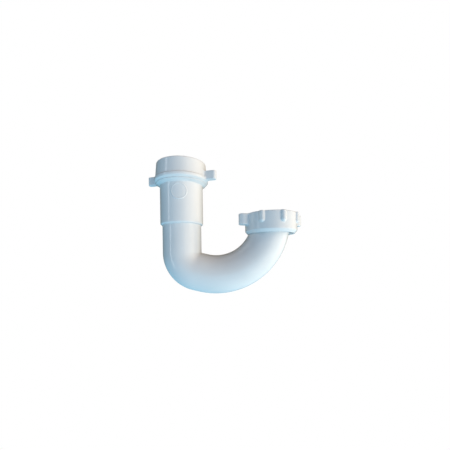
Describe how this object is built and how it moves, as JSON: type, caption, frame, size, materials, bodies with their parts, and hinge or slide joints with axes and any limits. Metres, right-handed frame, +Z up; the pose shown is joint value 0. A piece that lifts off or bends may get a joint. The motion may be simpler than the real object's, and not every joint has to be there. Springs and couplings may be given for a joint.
{
  "type": "p trap",
  "caption": "J-shaped tubular drain trap bend with a winged slip nut on the inlet and a ribbed, winged union nut on the outlet; it holds a water seal under a sink.",
  "frame": {"origin": "on the inlet axis, at the top of the straight wall of the inlet bore, where the bevelled washer seat begins", "axes": "+Z up out of the inlet along the tailpiece; +X from the inlet leg to the outlet; the bend lies in the XZ plane"},
  "size_m": [0.1568, 0.0536, 0.1283],
  "materials": {
    "tube_pvc": "white PVC, glossy",
    "socket_pvc": "white PVC, moulded, glossy",
    "nut_pvc": "white PVC, moulded, glossy",
    "washer_poly": "translucent white polyethylene, satin",
    "washer_rubber": "black rubber, matte"
  },
  "bodies": {
    "trap": {"trap_bend": "tube_pvc", "inlet_socket": "socket_pvc", "outlet_flange_ring": "socket_pvc"},
    "inlet_washer": {"inlet_bevel_washer": "washer_poly"},
    "inlet_nut": {"inlet_slip_nut": "nut_pvc"},
    "outlet_washer": {"outlet_seal_washer": "washer_rubber"},
    "outlet_nut": {"outlet_union_nut": "nut_pvc"}
  },
  "joints": [
    {"name": "inlet_washer_lift", "type": "slide", "parent": "trap", "child": "inlet_washer", "axis": [0, 0, 1], "range_m": [0, 0.01326]},
    {"name": "inlet_nut_turn", "type": "hinge", "parent": "inlet_washer", "child": "inlet_nut", "pos_m": [0, 0, 0], "axis": [0, 0, 1], "range_deg": [0, 2160]},
    {"name": "outlet_nut_spin", "type": "hinge", "parent": "trap", "child": "outlet_nut", "pos_m": [0.0889, 0, -0.0425], "axis": [0, 0, 1], "continuous": true},
    {"name": "outlet_washer_lift", "type": "slide", "parent": "trap", "child": "outlet_washer", "axis": [0, 0, 1], "range_m": [0, 0.02]}
  ],
  "couplings": [
    {"joint": "inlet_washer_lift", "follows": "inlet_nut_turn", "m_per_rad": 0.00035152}
  ]
}
